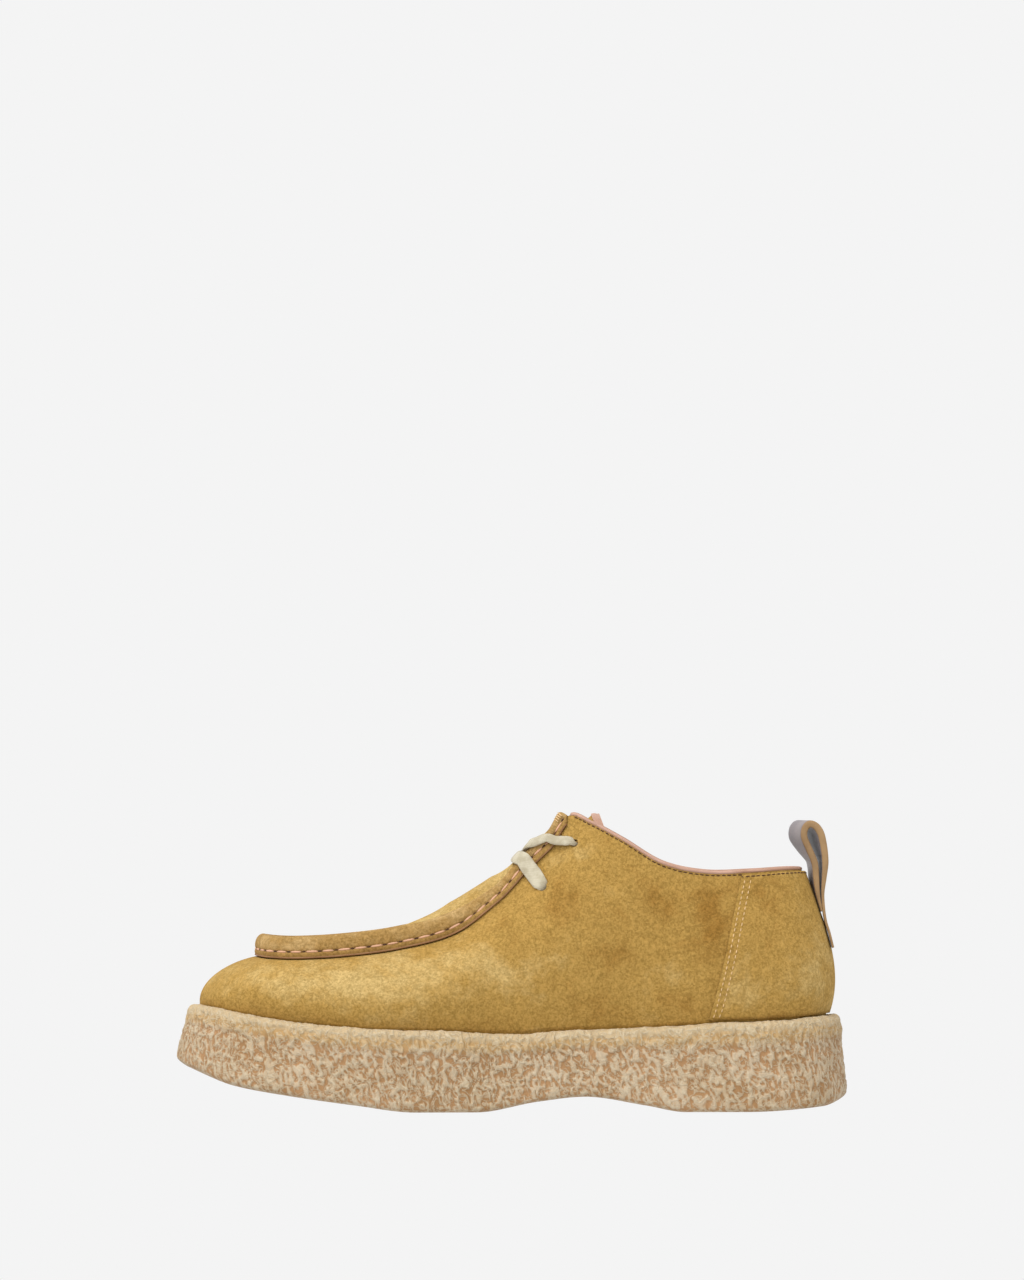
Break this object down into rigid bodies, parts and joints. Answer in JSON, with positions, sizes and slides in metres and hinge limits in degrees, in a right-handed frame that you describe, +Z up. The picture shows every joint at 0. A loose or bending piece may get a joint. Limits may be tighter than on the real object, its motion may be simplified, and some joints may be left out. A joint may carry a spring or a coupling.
{
  "type": "creeper shoe",
  "caption": "Low laced moccasin shoe with a raised apron seam, hollow suede upper and a thick crepe platform sole.",
  "frame": {"origin": "on the floor, under the middle of the shoe's bounding box", "axes": "+Z up, -X towards the toe, +X towards the heel, -Y towards the outer side of the foot"},
  "size_m": [0.301, 0.114, 0.1362],
  "materials": {
    "crepe": "matte natural crepe rubber, mottled and veined",
    "suede": "napped suede, mustard tan",
    "trim": "smooth pinkish tan trim leather",
    "lining": "smooth natural lining leather",
    "lace": "flat woven cotton, off white",
    "strap": "grey taupe leather with tan cut edges"
  },
  "bodies": {
    "root": {"outsole": "crepe", "upper": "suede", "apron_seam": "suede", "counter": "suede", "collar_piping": "trim", "tongue": "suede", "insole": "lining", "lace_bar": "lace", "lace_strands": "lace", "pull_loop": "strap"}
  },
  "joints": []
}
